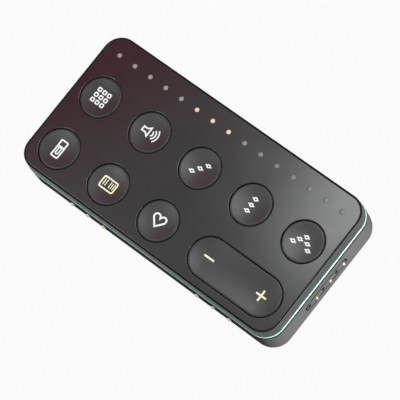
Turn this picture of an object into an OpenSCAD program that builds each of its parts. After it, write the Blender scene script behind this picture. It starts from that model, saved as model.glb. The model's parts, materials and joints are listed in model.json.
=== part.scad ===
// Pocket control pad: a rounded slab with nine keys, a row of light dots and docking ports in its walls.
// Millimetres. The origin is the middle of the underside, X runs along the key rows,
// +Y points to the row of dots and +Z points up through the keys.

/* [Body] */
// Length over the side walls
body_length = 93.8; // [88:0.2:110]
// Width over the side walls
body_width = 46.8; // [44:0.2:60]
// Height from the table to the top plate
body_height = 19.4; // [19:0.1:23]
// Corner radius of the walls, seen from above
corner_radius = 6; // [5.8:0.1:8]
// Radius that rolls the wall under to the base
bottom_radius = 5.8; // [4:0.1:5.8]
// Thickness of the side walls
wall = 1.6; // [1.4:0.1:2]
// Thickness of the floor
floor_thickness = 1.6; // [1.4:0.1:2.2]

/* [Base pad] */
// How far the rubber pad stands below the shell
pad_proud = 0.6; // [0.3:0.1:1]
// How deep the pad is let into the floor
pad_sunk = 0.6; // [0.3:0.1:0.9]
// Margin between the pad and the flat of the base
pad_margin = 1.5; // [0.5:0.1:4]
// Chamfer on the pad's lower edge
pad_chamfer = 0.2; // [0.1:0.05:0.4]
// Corner radius of the pad
pad_corner = 4; // [2:0.5:8]
// Gap between the pad and its recess
pad_clearance = 0.1; // [0.05:0.05:0.3]

/* [Top] */
// Thickness of the top plate
plate_thickness = 1.3; // [1.1:0.1:1.6]
// Distance from the outer wall to the edge of the top plate
plate_inset = 0.83; // [0.8:0.01:0.95]
// Rounding of the top plate's upper edge
plate_edge = 0.2; // [0.1:0.05:0.4]
// Dark gap between the top plate and the frame's lip
plate_gap = 0.3; // [0.2:0.05:0.35]
// How far the frame's lip lies below the top plate
lip_drop = 0.15; // [0.05:0.05:0.3]
// Chamfer on the lip's outer edge
lip_chamfer = 0.1; // [0.05:0.01:0.13]
// Distance from the outer wall to the frame's face at the lip
frame_inset = 0.33; // [0.28:0.01:0.35]
// Draft of the frame's face over its height
frame_draft = 0.18; // [0.1:0.01:0.2]
// How far the frame's ledge reaches under the top plate
ledge_reach = 1.17; // [1.05:0.01:1.3]
// Thickness of the tongue that locates the frame in the shell
tongue_thickness = 0.55; // [0.5:0.05:0.6]
// Depth of the tongue below the frame's face
tongue_depth = 2.3; // [2:0.1:2.3]
// Gap between the tongue and the shell's wall
tongue_clearance = 0.15; // [0.05:0.05:0.2]
// Rounding of the rims of the key openings
rim_edge = 0.2; // [0.1:0.05:0.3]

/* [Seam] */
// Drop from the top plate to the seam ring
seam_drop = 4.1; // [3.9:0.1:4.2]
// Height of the seam ring's bright rim
seam_rim = 0.75; // [0.5:0.05:0.8]
// Height of the shadow gap below the rim
seam_gap = 0.8; // [0.4:0.1:0.8]
// Depth of the shadow gap
seam_gap_depth = 0.6; // [0.3:0.1:0.9]
// Chamfer on the rim's upper edge
seam_chamfer = 0.15; // [0.05:0.05:0.2]

/* [Keys] */
// Gap between the outer keys' flanges and the frame's ledge at the sides
side_gap = 0.6; // [0.3:0.1:2]
// Gap between the lower keys' flanges and the frame's ledge at the front
front_gap = 0.42; // [0.2:0.02:1]
// Distance of the upper key row from the row of dots
dots_to_keys = 12.88; // [12:0.02:14]
// Radius of a round key and of the pill key's ends
key_radius = 6; // [5:0.1:6.2]
// Gap around a key in its opening
key_gap = 0.3; // [0.25:0.05:0.5]
// Travel of a key
key_travel = 0.4; // [0.2:0.05:0.5]
// Depth of the dished top
dish_depth = 0.4; // [0.2:0.05:0.5]
// Flat rim around the dish
dish_rim = 0.5; // [0.4:0.05:0.8]
// Rounding of a key's upper edge
key_edge = 0.3; // [0.15:0.05:0.35]
// How far a key's flange reaches under the top plate
flange_reach = 0.6; // [0.4:0.05:0.7]
// Thickness of the flange
flange_thickness = 1; // [0.8:0.1:1.2]
// Gap between the flange and the top plate
flange_gap = 0.15; // [0.1:0.05:0.3]
// Radius of the stem that presses the dome
stem_radius = 1.3; // [1:0.1:1.6]
// Length of the stem below the flange
stem_length = 1.2; // [1.1:0.1:1.5]
// Gap between a stem and its dome
stem_gap = 0.05; // [0.03:0.01:0.1]

/* [Key guides] */
// Radius of a guide peg under the top plate
peg_radius = 0.7; // [0.6:0.05:0.8]
// Plate left between a peg and the key's opening
peg_margin = 0.6; // [0.4:0.1:0.8]
// Wall of the lug around a peg
lug_wall = 0.62; // [0.5:0.02:0.7]
// Running gap around a peg
peg_clearance = 0.08; // [0.05:0.01:0.1]
// How far a peg stands out below a pressed key's flange
peg_tip = 0.3; // [0.1:0.1:0.4]

/* [Pill key] */
// How far the pill key's cap reaches below the top plate
pill_skirt = 0.2; // [0.1:0.05:0.4]
// Radius of the pivot pin
pivot_radius = 0.6; // [0.5:0.05:0.7]
// Gap around the pivot pin in the bracket that grips it
pivot_grip = 0.01; // [0.01:0.01:0.02]
// Running gap between the pivot pin and the pill key
pivot_clearance = 0.04; // [0.02:0.01:0.08]
// Gap above and below the pivot hub
hub_gap = 0.3; // [0.25:0.05:0.4]
// Width of the pivot bracket along the pin
bracket_width = 5.2; // [4:0.2:6]
// Length of the bracket's foot on the board
bracket_foot = 5; // [4:0.5:8]
// Thickness of the bracket's foot
bracket_foot_height = 0.6; // [0.4:0.1:0.8]
// Gap between the bracket and the pill key's cheeks
cheek_gap = 0.3; // [0.2:0.05:0.4]
// Thickness of a cheek
cheek_thickness = 2.2; // [1.6:0.1:2.3]

/* [Dots] */
// Number of light dots
dot_count = 15; // [5:2:15]
// Distance of the outer dots from the side walls
dot_side = 5.95; // [5:0.05:12]
// Distance of the dot row from the back wall
dot_margin = 5.9; // [5:0.1:7]
// Radius of a dot
dot_radius = 0.65; // [0.4:0.05:0.8]
// How far a dot ends below the top plate
dot_drop = 0.15; // [0:0.05:0.3]
// Rounding of the rims of the dot holes
dot_edge = 0.1; // [0.05:0.05:0.15]
// Gap between a dot and its hole
dot_clearance = 0.05; // [0.02:0.01:0.1]
// Width of the light guide's bar
guide_width = 3; // [2.4:0.1:3.4]
// Thickness of the light guide's bar
guide_thickness = 1; // [0.8:0.1:1.4]
// Length of a light emitter
emitter_length = 1.6; // [1:0.1:2]
// Width of a light emitter
emitter_width = 0.8; // [0.5:0.1:1.2]
// Height of a light emitter
emitter_height = 0.6; // [0.4:0.1:0.8]

/* [Board] */
// Thickness of the main board
board_thickness = 1.2; // [0.8:0.1:1.4]
// Gap between the edge of the board and the frame's tongue
board_gap = 0.7; // [0.3:0.1:1.5]
// Corner radius of the board
board_corner = 3; // [2:0.5:6]
// Radius of a snap dome
dome_radius = 3.1; // [2.5:0.1:4]
// Height of a snap dome
dome_height = 0.6; // [0.5:0.05:0.8]
// Thickness of a snap dome
dome_thickness = 0.15; // [0.1:0.05:0.2]
// Side of the controller chip
chip_side = 7; // [5:0.5:10]
// Height of the controller chip
chip_height = 0.9; // [0.6:0.1:1.2]

/* [Screws] */
// Gap between the back bosses and the light guide
boss_gap = 0.3; // [0.2:0.05:0.5]
// Radius of a screw's shank
screw_radius = 1; // [0.8:0.1:1.2]
// Radius of a screw's head
screw_head_radius = 1.9; // [1.6:0.1:2]
// Height of a screw's head
screw_head_height = 1.4; // [1:0.1:1.6]
// Gap around the shank in the shell's post
screw_clearance = 0.15; // [0.1:0.05:0.3]
// Gap around the head in its counterbore
head_clearance = 0.2; // [0.1:0.05:0.3]
// Gap around the shank in the boss it grips
thread_clearance = 0.01; // [0.01:0.01:0.03]
// Wall of the posts around the screw heads
post_wall = 0.9; // [0.7:0.1:1.1]
// Wall of the boss's spigot around the screw
spigot_wall = 1.09; // [0.8:0.01:1.2]
// Gap between the spigot and the board
spigot_clearance = 0.2; // [0.1:0.05:0.3]
// How far the screw's seat lies above the floor
seat_rise = 1; // [0.8:0.1:1.5]
// Solid end left above the screw's hole
boss_end = 0.6; // [0.4:0.1:1]
// Free length between the screw's tip and the end of its hole
tip_room = 0.5; // [0.2:0.1:1]

/* [Docking ports] */
// Drop from the top plate to the middle of a port
dock_drop = 9.7; // [9.6:0.1:10]
// Length of a port's window
dock_length = 18; // [17.6:0.1:18.4]
// Height of a port's window
dock_height = 3.7; // [3.4:0.1:3.8]
// How far the port's face lies behind the wall's face
dock_recess = 0; // [0:0.05:0.4]
// Gap between the port's nose and its window
dock_clearance = 0.25; // [0.1:0.05:0.3]
// How far the housing reaches past the window at each end
housing_margin = 0.8; // [0.5:0.1:1]
// Room between the housing's upper step and the frame's tongue
tongue_room = 0.3; // [0.2:0.05:0.4]
// Depth of the housing behind the wall
housing_depth = 4.4; // [4:0.1:5]
// Thickness of the plate that closes the housing
rear_plate_thickness = 0.8; // [0.6:0.1:1]
// Spacing of the contacts
contact_pitch = 2.98; // [2.9:0.01:3]
// Radius of a spring pin
pin_radius = 0.62; // [0.5:0.02:0.7]
// How far a spring pin stands out of the wall
pin_proud = 0.6; // [0.3:0.05:0.6]
// Running gap around a spring pin
pin_clearance = 0.06; // [0.03:0.01:0.09]
// Step from the pin to its collar
collar_step = 0.3; // [0.2:0.05:0.4]
// Thickness of the pin's collar
collar_thickness = 0.5; // [0.4:0.1:0.8]
// Play between the collar and its chamber's end
collar_play = 0.05; // [0.02:0.01:0.1]
// Depth of the collar's chamber behind the wall
chamber_depth = 0.8; // [0.6:0.1:1.2]
// Length of the pin's tail behind its collar
tail_length = 1.2; // [0.8:0.1:1.4]
// Radius of the pin's tail
tail_radius = 0.4; // [0.3:0.05:0.45]
// Radius of a socket contact
socket_radius = 0.6; // [0.5:0.05:0.7]
// Gap between a socket contact and its hole
socket_clearance = 0.03; // [0.02:0.01:0.05]
// Depth of a socket contact below the port's face
socket_depth = 1; // [0.6:0.1:1.4]

/* [Magnets] */
// Gap between a magnet's collar and the port's housing
magnet_gap = 0.45; // [0.2:0.05:0.6]
// Radius of a magnet
magnet_radius = 2.5; // [2:0.1:2.6]
// Thickness of a magnet
magnet_thickness = 1.8; // [1.5:0.1:1.8]
// Wall left in front of a magnet
magnet_cover = 0.8; // [0.6:0.1:1]
// Wall of the collar around a magnet
magnet_collar = 0.6; // [0.5:0.1:0.7]
// Gap between a magnet and its pocket
magnet_clearance = 0.05; // [0.02:0.01:0.1]

/* [Hidden] */
$fn = 64;
// Sides of the wide, shallow arcs
fine = 360;
// A small overlap that lets two solids of one piece join
join = 0.2;
// How far a cutting tool runs past a face
past = 1;
// Least inner radius of the rolled edge
least_roll = 0.5;

// Heights, from the top down
top_z = body_height;
plate_z = top_z - plate_thickness;
lip_z = top_z - lip_drop;
frame_z = top_z - seam_drop;
rim_z = frame_z - seam_rim;
shell_top_z = rim_z - seam_gap;
flange_top_z = plate_z - flange_gap;
flange_z = flange_top_z - flange_thickness;
stem_z = flange_z - stem_length;
board_top_z = stem_z - stem_gap - dome_height;
board_z = board_top_z - board_thickness;
tongue_z = frame_z - tongue_depth;
dock_z = top_z - dock_drop;
housing_z = dock_z - dock_height / 2;

// Heights, from the table up
shell_z = pad_proud;
recess_z = shell_z + pad_sunk;
floor_z = shell_z + floor_thickness;

// Plan sizes
core_x = body_length / 2 - corner_radius;
core_y = body_width / 2 - corner_radius;
roll_radius = min(bottom_radius, corner_radius, housing_z - shell_z);
inner_roll = max(roll_radius - wall, least_roll);
pad_length = body_length - 2 * (roll_radius + pad_margin);
pad_width = body_width - 2 * (roll_radius + pad_margin);
lip_x = corner_radius - plate_inset + plate_gap;
ledge_x = corner_radius - plate_inset - ledge_reach;
tongue_x = corner_radius - wall - tongue_clearance;
board_inset = wall + tongue_clearance + tongue_thickness + board_gap;

// Keys: name, column and row (0 is the upper row)
keys = [
  ["grid_key", -2, 0],
  ["volume_key", -1, 0],
  ["rising_notes_key", 0, 0],
  ["stacked_notes_key", 1, 0],
  ["arched_notes_key", 2, 0],
  ["device_key", -2, 1],
  ["keyboard_key", -1, 1],
  ["heart_key", 0, 1]
];
outer_column = max([for (k = keys) k[1]]);
peg_turns = [135, 315];
hole_radius = key_radius + key_gap;
flange_radius = hole_radius + flange_reach;
peg_reach = hole_radius + peg_margin + peg_radius;
lug_radius = peg_radius + peg_clearance + lug_wall;
peg_z = flange_z - key_travel - peg_tip;

// The key grid fills the frame from side to side, and from the front to the row of dots
dot_row_y = body_width / 2 - dot_margin;
upper_row_y = dot_row_y - dots_to_keys;
lower_row_y = corner_radius - ledge_x + front_gap + flange_radius - body_width / 2;
outer_column_x = body_length / 2 - (corner_radius - ledge_x) - side_gap - flange_radius;
column_pitch = outer_column_x / outer_column;
function key_place(column, row) = [column * column_pitch, row == 0 ? upper_row_y : lower_row_y, 0];

// The pill key lies across the last two columns of the lower row
pill_columns = [1, 2];
pill_run = column_pitch / 2;
pill_place = (key_place(pill_columns[0], 1) + key_place(pill_columns[1], 1)) / 2;
pill_z = plate_z - pill_skirt;
pivot_z = (pill_z + board_top_z) / 2;
hub_radius = (pill_z - board_top_z) / 2 - hub_gap;
cheek_start = bracket_width / 2 + cheek_gap;
dome_places = concat(
  [for (k = keys) key_place(k[1], k[2])],
  [for (c = pill_columns) key_place(c, 1)]
);
dot_pitch = (body_length - 2 * dot_side) / (dot_count - 1);
dot_xs = [for (i = [0 : dot_count - 1]) (i - (dot_count - 1) / 2) * dot_pitch];

// Screws sit halfway between the outer two key columns, one pair between the rows and one behind them
screw_x = outer_column_x - column_pitch / 2;
post_radius = screw_head_radius + head_clearance + post_wall;
spigot_radius = screw_radius + thread_clearance + spigot_wall;
screw_front_y = (upper_row_y + lower_row_y) / 2;
screw_back_y = dot_row_y - guide_width / 2 - boss_gap - post_radius;
screw_places = [for (side = [-1, 1], y = [screw_front_y, screw_back_y]) [side * screw_x, y, 0]];
seat_z = floor_z + seat_rise;
hole_end_z = plate_z - boss_end;

// Docking ports: name, place on the outer wall and turn. A long wall has one in the middle of each half.
// Seen from outside, local x runs to the right and local y runs inwards.
dock_x = body_length / 4;
docks = [
  ["front_left", [-dock_x, -body_width / 2], 0],
  ["front_right", [dock_x, -body_width / 2], 0],
  ["right", [body_length / 2, 0], 90],
  ["back_right", [dock_x, body_width / 2], 180],
  ["back_left", [-dock_x, body_width / 2], 180],
  ["left", [-body_length / 2, 0], 270]
];
pin_slots = [2.5, 0.5, -1.5];
socket_slots = [1.5, -0.5, -2.5];
housing_length = dock_length + 2 * housing_margin;
housing_back = wall + housing_depth;
chamber_start = wall + chamber_depth;
step_z = tongue_z - tongue_room;
step_back = wall + tongue_clearance + tongue_thickness + tongue_room;
collar_radius = pin_radius + collar_step;
chamber_radius = collar_radius + pin_clearance;
magnet_hole = magnet_radius + magnet_clearance;
magnet_end = magnet_cover + magnet_thickness;
magnet_offset = housing_length / 2 + magnet_gap + magnet_hole + magnet_collar;
pins = [
  for (d = docks, i = [0 : len(pin_slots) - 1]) [str(d[0], "_pin_", i + 1), d, pin_slots[i]]
];

// Shared shapes

// A profile carried round a rounded rectangle whose corner centres lie at (x, y)
module swept(x, y) {
  for (mx = [0, 1], my = [0, 1])
    mirror([mx, 0, 0]) mirror([0, my, 0]) translate([x, y, 0]) rotate_extrude(angle = 90) children();
  if (y > 0)
    for (m = [0, 1])
      mirror([m, 0, 0]) translate([x, y, 0]) rotate([90, 0, 0]) linear_extrude(2 * y) children();
  for (m = [0, 1])
    mirror([0, m, 0]) translate([-x, y, 0]) rotate([90, 0, 90]) linear_extrude(2 * x) children();
}

// The block inside the corner centres of a swept profile
module core(x, y, low, high) {
  if (y > 0) translate([-x, -y, low]) cube([2 * x, 2 * y, high - low]);
}

// A flat slab with round corners
module slab(length, width, radius, low, high) {
  x = length / 2 - radius;
  y = width / 2 - radius;
  swept(x, y) translate([0, low]) square([radius, high - low]);
  core(x, y, low, high);
}

// A stadium along X whose ends are round about Y, from depth y0 to depth y1
module stadium(length, height, y0, y1) {
  run = (length - height) / 2;
  translate([-run, y0, -height / 2]) cube([2 * run, y1 - y0, height]);
  for (m = [0, 1])
    mirror([m, 0, 0]) translate([run, y1, 0]) rotate([90, 0, 0]) rotate([0, 0, -90])
      rotate_extrude(angle = 180) square([height / 2, y1 - y0]);
}

// A round bar along Y, from depth y0 to depth y1
module bar_y(radius, y0, y1) {
  translate([0, y0, 0]) rotate([-90, 0, 0]) cylinder(r = radius, h = y1 - y0);
}

module at_dock(d) {
  translate([d[1][0], d[1][1], dock_z]) rotate(d[2]) children();
}

module at_docks() {
  for (d = docks) at_dock(d) children();
}

// Case

// Section through the shell: floor, rolled edge and wall
module shell_section() {
  difference() {
    translate([0, shell_z]) square([corner_radius, shell_top_z - shell_z]);
    translate([corner_radius - roll_radius, shell_z]) difference() {
      square(roll_radius);
      translate([0, roll_radius]) circle(roll_radius);
    }
    translate([0, floor_z + inner_roll]) square([corner_radius - wall, shell_top_z]);
    translate([0, floor_z]) square([corner_radius - wall - inner_roll, inner_roll + join]);
    translate([corner_radius - wall - inner_roll, floor_z + inner_roll]) intersection() {
      circle(inner_roll);
      translate([0, -inner_roll]) square(inner_roll);
    }
  }
}

module base_shell() color([0.2, 0.19, 0.19]) difference() {
  union() {
    swept(core_x, core_y) shell_section();
    core(core_x, core_y, shell_z, floor_z);
    for (p = screw_places)
      translate([p[0], p[1], floor_z - join]) cylinder(r = post_radius, h = board_z - floor_z + join);
    at_docks() for (s = [-1, 1])
      translate([s * magnet_offset, 0, 0]) bar_y(magnet_hole + magnet_collar, wall - join, magnet_end);
  }
  slab(pad_length + 2 * pad_clearance, pad_width + 2 * pad_clearance, pad_corner, shell_z - past, recess_z);
  for (p = screw_places) {
    translate([p[0], p[1], shell_z]) cylinder(r = screw_radius + screw_clearance, h = body_height);
    translate([p[0], p[1], shell_z]) cylinder(r = screw_head_radius + head_clearance, h = seat_z - shell_z);
  }
  at_docks() {
    stadium(dock_length, dock_height, -past, wall + join);
    for (s = [-1, 1])
      translate([s * magnet_offset, 0, 0]) bar_y(magnet_hole, magnet_cover, magnet_end + past);
  }
}

module seam_ring() color([0.72, 0.86, 0.84]) {
  inner = corner_radius - wall;
  outer = corner_radius;
  swept(core_x, core_y) polygon([
    [inner, shell_top_z],
    [outer - seam_gap_depth, shell_top_z],
    [outer - seam_gap_depth, rim_z],
    [outer, rim_z],
    [outer, frame_z - seam_chamfer],
    [outer - seam_chamfer, frame_z],
    [inner, frame_z]
  ]);
}

module top_frame() color([0.27, 0.27, 0.28]) {
  face = corner_radius - frame_inset;
  tongue_in = tongue_x - tongue_thickness;
  swept(core_x, core_y) polygon([
    [tongue_x, frame_z],
    [face + frame_draft, frame_z],
    [face, lip_z - lip_chamfer],
    [face - lip_chamfer, lip_z],
    [lip_x, lip_z],
    [lip_x, plate_z],
    [ledge_x, plate_z],
    [ledge_x, frame_z + ledge_x - tongue_in],
    [tongue_in, frame_z],
    [tongue_in, tongue_z],
    [tongue_x, tongue_z]
  ]);
}

// Half section of an opening in the top plate, with a round upper rim
module opening_section(radius, edge) {
  translate([0, plate_z - past]) square([radius, plate_thickness + 2 * past]);
  translate([0, top_z - edge]) difference() {
    square([radius + edge, edge + past]);
    translate([radius + edge, 0]) circle(edge);
  }
}

module top_plate() color([0.16, 0.15, 0.15]) {
  edge = corner_radius - plate_inset;
  difference() {
    union() {
      swept(core_x, core_y) difference() {
        translate([0, plate_z]) square([edge, plate_thickness]);
        translate([edge - plate_edge, top_z - plate_edge]) difference() {
          square(plate_edge);
          circle(plate_edge);
        }
      }
      core(core_x, core_y, plate_z, top_z);
      for (p = screw_places) {
        translate([p[0], p[1], board_top_z]) cylinder(r = post_radius, h = plate_z - board_top_z + join);
        translate([p[0], p[1], board_z]) cylinder(r = spigot_radius, h = board_top_z - board_z + join);
      }
      for (k = keys, a = peg_turns)
        translate(key_place(k[1], k[2])) rotate(a) translate([peg_reach, 0, peg_z])
          cylinder(r = peg_radius, h = plate_z - peg_z + join);
    }
    for (k = keys)
      translate(key_place(k[1], k[2])) rotate_extrude() opening_section(hole_radius, rim_edge);
    translate(pill_place) swept(pill_run, 0) opening_section(hole_radius, rim_edge);
    for (x = dot_xs)
      translate([x, dot_row_y, 0]) rotate_extrude() opening_section(dot_radius + dot_clearance, dot_edge);
    for (p = screw_places)
      translate([p[0], p[1], board_z - past])
        cylinder(r = screw_radius + thread_clearance, h = hole_end_z - board_z + past);
  }
}

module base_pad() color([0.13, 0.13, 0.13]) {
  x = pad_length / 2 - pad_corner;
  y = pad_width / 2 - pad_corner;
  swept(x, y) polygon([
    [0, 0],
    [pad_corner - pad_chamfer, 0],
    [pad_corner, pad_chamfer],
    [pad_corner, recess_z],
    [0, recess_z]
  ]);
  core(x, y, 0, recess_z);
}

// Inside

module main_board() color([0.1, 0.3, 0.2]) difference() {
  slab(body_length - 2 * board_inset, body_width - 2 * board_inset, board_corner, board_z, board_top_z);
  for (p = screw_places)
    translate([p[0], p[1], board_z - past])
      cylinder(r = spigot_radius + spigot_clearance, h = board_thickness + 2 * past);
}

module controller_chip() color([0.1, 0.1, 0.11]) {
  translate([-chip_side / 2, -chip_side / 2, board_z - chip_height])
    cube([chip_side, chip_side, chip_height]);
}

module snap_domes() color([0.75, 0.75, 0.77]) {
  outer = (pow(dome_radius, 2) + pow(dome_height, 2)) / (2 * dome_height);
  for (p = dome_places)
    translate(p + [0, 0, board_top_z]) rotate_extrude() intersection() {
      translate([0, dome_height - outer]) difference() {
        circle(outer, $fn = fine);
        circle(outer - dome_thickness, $fn = fine);
      }
      square([dome_radius, dome_height]);
    }
}

module light_guide() color([0.9, 0.88, 0.86]) {
  length = (dot_count - 1) * dot_pitch + guide_width;
  translate([-length / 2, dot_row_y - guide_width / 2, plate_z - guide_thickness])
    cube([length, guide_width, guide_thickness]);
  for (x = dot_xs)
    translate([x, dot_row_y, plate_z - join])
      cylinder(r = dot_radius, h = plate_thickness - dot_drop + join);
}

module dot_emitters() color([0.95, 0.9, 0.75]) {
  for (x = dot_xs)
    translate([x - emitter_length / 2, dot_row_y - emitter_width / 2, board_top_z])
      cube([emitter_length, emitter_width, emitter_height]);
}

module case_screws() color([0.6, 0.6, 0.62]) {
  tip_z = hole_end_z - tip_room;
  for (p = screw_places)
    translate(p) {
      translate([0, 0, seat_z - screw_head_height]) cylinder(r = screw_head_radius, h = screw_head_height);
      translate([0, 0, seat_z - join]) cylinder(r = screw_radius, h = tip_z - seat_z + join);
    }
}

module pivot_bracket() color([0.25, 0.25, 0.26]) translate(pill_place) difference() {
  union() {
    translate([0, 0, pivot_z]) bar_y(hub_radius, -bracket_width / 2, bracket_width / 2);
    translate([-hub_radius, -bracket_width / 2, board_top_z])
      cube([2 * hub_radius, bracket_width, pivot_z - board_top_z]);
    translate([-bracket_foot / 2, -bracket_width / 2, board_top_z])
      cube([bracket_foot, bracket_width, bracket_foot_height]);
  }
  translate([0, 0, pivot_z]) bar_y(pivot_radius + pivot_grip, -bracket_width, bracket_width);
}

module pivot_pin() color([0.7, 0.7, 0.72]) {
  reach = cheek_start + cheek_thickness;
  translate(pill_place + [0, 0, pivot_z]) bar_y(pivot_radius, -reach, reach);
}

// Docking ports

module dock_housing(d) color([0.12, 0.12, 0.12]) at_dock(d) difference() {
  union() {
    stadium(dock_length - 2 * dock_clearance, dock_height - 2 * dock_clearance, dock_recess, wall + join);
    translate([-housing_length / 2, wall, housing_z - dock_z])
      cube([housing_length, housing_depth, board_z - housing_z]);
  }
  translate([-housing_length, wall - past, step_z - dock_z])
    cube([2 * housing_length, step_back - wall + past, board_z - step_z + past]);
  for (s = pin_slots)
    translate([s * contact_pitch, 0, 0]) {
      bar_y(pin_radius + pin_clearance, 0, housing_back);
      bar_y(chamber_radius, chamber_start, housing_back + past);
    }
  for (s = socket_slots)
    translate([s * contact_pitch, 0, 0]) bar_y(socket_radius + socket_clearance, 0, housing_back + past);
}

module dock_rear_plates() color([0.1, 0.3, 0.2]) at_docks()
  translate([-housing_length / 2, housing_back, housing_z - dock_z])
    cube([housing_length, rear_plate_thickness, board_z - housing_z]);

module dock_sockets() color([0.8, 0.66, 0.36]) at_docks()
  for (s = socket_slots)
    translate([s * contact_pitch, 0, 0]) bar_y(socket_radius, dock_recess + socket_depth, housing_back);

module dock_magnets() color([0.66, 0.66, 0.68]) at_docks()
  for (s = [-1, 1])
    translate([s * magnet_offset, 0, 0]) bar_y(magnet_radius, magnet_cover, magnet_end);

module dock_pin(d, slot) color([0.85, 0.7, 0.38]) {
  nose = pin_radius - pin_proud;
  collar = chamber_start + collar_play;
  at_dock(d) translate([slot * contact_pitch, 0, 0]) rotate([-90, 0, 0]) rotate_extrude() {
    intersection() {
      translate([0, nose]) circle(pin_radius);
      translate([0, -pin_proud]) square(pin_radius);
    }
    translate([0, nose]) square([pin_radius, collar - nose + join]);
    translate([0, collar]) square([collar_radius, collar_thickness]);
    translate([0, collar]) square([tail_radius, collar_thickness + tail_length]);
  }
}

// Keys

// Half section of a key's cap: round upper edge and a shallow dish
module cap_section(low) {
  reach = key_radius - dish_rim;
  dish = (pow(reach, 2) + pow(dish_depth, 2)) / (2 * dish_depth);
  difference() {
    translate([0, low]) square([key_radius, top_z - low]);
    translate([key_radius - key_edge, top_z - key_edge]) difference() {
      square(key_edge);
      circle(key_edge);
    }
    translate([0, top_z - dish_depth + dish]) circle(dish, $fn = fine);
  }
}

module round_key(k) color([0.19, 0.2, 0.2]) translate(key_place(k[1], k[2])) difference() {
  union() {
    rotate_extrude() {
      cap_section(flange_z);
      translate([0, flange_z]) square([flange_radius, flange_thickness]);
      translate([0, stem_z]) square([stem_radius, stem_length + join]);
    }
    for (a = peg_turns)
      rotate(a) translate([peg_reach, 0, flange_z]) cylinder(r = lug_radius, h = flange_thickness);
  }
  for (a = peg_turns)
    rotate(a) translate([peg_reach, 0, flange_z - past])
      cylinder(r = peg_radius + peg_clearance, h = flange_thickness + 2 * past);
}

module pill_key() color([0.19, 0.2, 0.2]) translate(pill_place) difference() {
  union() {
    swept(pill_run, 0) cap_section(pill_z);
    for (s = [-1, 1])
      translate([s * pill_run, 0, stem_z]) cylinder(r = stem_radius, h = pill_z - stem_z + join);
    for (s = [0, 1])
      mirror([0, s, 0]) {
        translate([0, 0, pivot_z]) bar_y(hub_radius, cheek_start, cheek_start + cheek_thickness);
        translate([-hub_radius, cheek_start, pivot_z])
          cube([2 * hub_radius, cheek_thickness, pill_z - pivot_z + join]);
      }
  }
  translate([0, 0, pivot_z]) bar_y(pivot_radius + pivot_clearance, -key_radius, key_radius);
}

base_shell();
seam_ring();
top_frame();
top_plate();
base_pad();
main_board();
controller_chip();
snap_domes();
light_guide();
dot_emitters();
case_screws();
pivot_bracket();
pivot_pin();
dock_magnets();
dock_rear_plates();
dock_sockets();
for (d = docks) dock_housing(d);
for (k = keys) round_key(k);
pill_key();
for (p = pins) dock_pin(p[1], p[2]);
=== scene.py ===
# %% [markdown]
# # A midi controller pad
#
# The object is a small slab of black plastic, about 94 by 47 by 19 mm. Its top has eight round
# dished keys, one long rocking key and a row of fifteen light dots. Its walls have docking ports
# with gold spring pins. The construction comes from the CAD frame, and this lesson gives it its
# looks: the printed signs, the snap domes under the keys, the lens caps of the dots, every
# material, the light and the camera.

# %% Load the frame
import json
import math

import bpy
from mathutils import Matrix, Vector


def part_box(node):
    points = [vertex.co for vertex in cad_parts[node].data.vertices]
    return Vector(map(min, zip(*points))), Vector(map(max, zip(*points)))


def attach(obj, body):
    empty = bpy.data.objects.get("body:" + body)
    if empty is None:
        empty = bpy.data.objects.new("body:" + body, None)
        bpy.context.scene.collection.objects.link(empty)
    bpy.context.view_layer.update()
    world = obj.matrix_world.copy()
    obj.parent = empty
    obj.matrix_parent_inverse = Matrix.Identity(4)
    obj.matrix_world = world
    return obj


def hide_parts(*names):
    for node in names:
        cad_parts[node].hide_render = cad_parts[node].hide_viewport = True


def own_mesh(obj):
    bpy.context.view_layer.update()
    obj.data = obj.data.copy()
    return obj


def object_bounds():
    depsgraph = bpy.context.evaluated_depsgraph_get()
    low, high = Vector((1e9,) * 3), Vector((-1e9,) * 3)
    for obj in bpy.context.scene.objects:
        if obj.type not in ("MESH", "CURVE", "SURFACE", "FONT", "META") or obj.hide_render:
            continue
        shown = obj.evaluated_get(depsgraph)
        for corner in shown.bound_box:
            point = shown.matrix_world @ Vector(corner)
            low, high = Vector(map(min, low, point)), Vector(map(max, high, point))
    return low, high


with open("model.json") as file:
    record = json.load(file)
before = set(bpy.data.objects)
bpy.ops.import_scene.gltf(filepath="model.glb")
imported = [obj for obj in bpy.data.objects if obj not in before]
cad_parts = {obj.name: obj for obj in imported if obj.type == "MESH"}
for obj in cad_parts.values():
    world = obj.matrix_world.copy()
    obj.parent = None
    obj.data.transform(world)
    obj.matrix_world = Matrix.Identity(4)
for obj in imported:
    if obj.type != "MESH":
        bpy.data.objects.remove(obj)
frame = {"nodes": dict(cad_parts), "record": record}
MM = 0.001
cad_low, cad_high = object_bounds()
print("CAD box in mm:", [round(side / MM, 2) for side in cad_high - cad_low])

# %% [markdown]
# ## Camera
#
# The photograph looks down on the pad from the front right, and it is turned, so that the long
# side runs from the upper left to the lower right. A fit of the key centres and the corners gave
# the place, the point that the camera looks at, its roll and a long lens.

# %% Camera
camera_data = bpy.data.cameras.new("photo_camera")
camera_data.sensor_width = 36
camera_data.lens = 247.04
camera_data.clip_start = 0.05
camera = bpy.data.objects.new("photo_camera", camera_data)
bpy.context.scene.collection.objects.link(camera)
bpy.context.scene.camera = camera

camera_place = Vector((297.18, -89.15, 712.74)) * MM
camera_target = Vector((5.98, -2.61, 19.4)) * MM
camera_roll = math.radians(-36.31)
aim = (camera_target - camera_place).to_track_quat("-Z", "Y").to_matrix()
camera.location = camera_place
camera.rotation_euler = (aim @ Matrix.Rotation(camera_roll, 3, "Z")).to_euler()
print("camera stands", round((camera_target - camera_place).length / MM), "mm away")

# %% [markdown]
# ## Tools for the materials
#
# Colours are written as they look on a screen, and one function turns them into the linear values
# that the shaders count in. One more small function adds a shader node with its settings and its
# links, so that each material below reads as a list of what it is made of.

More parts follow.
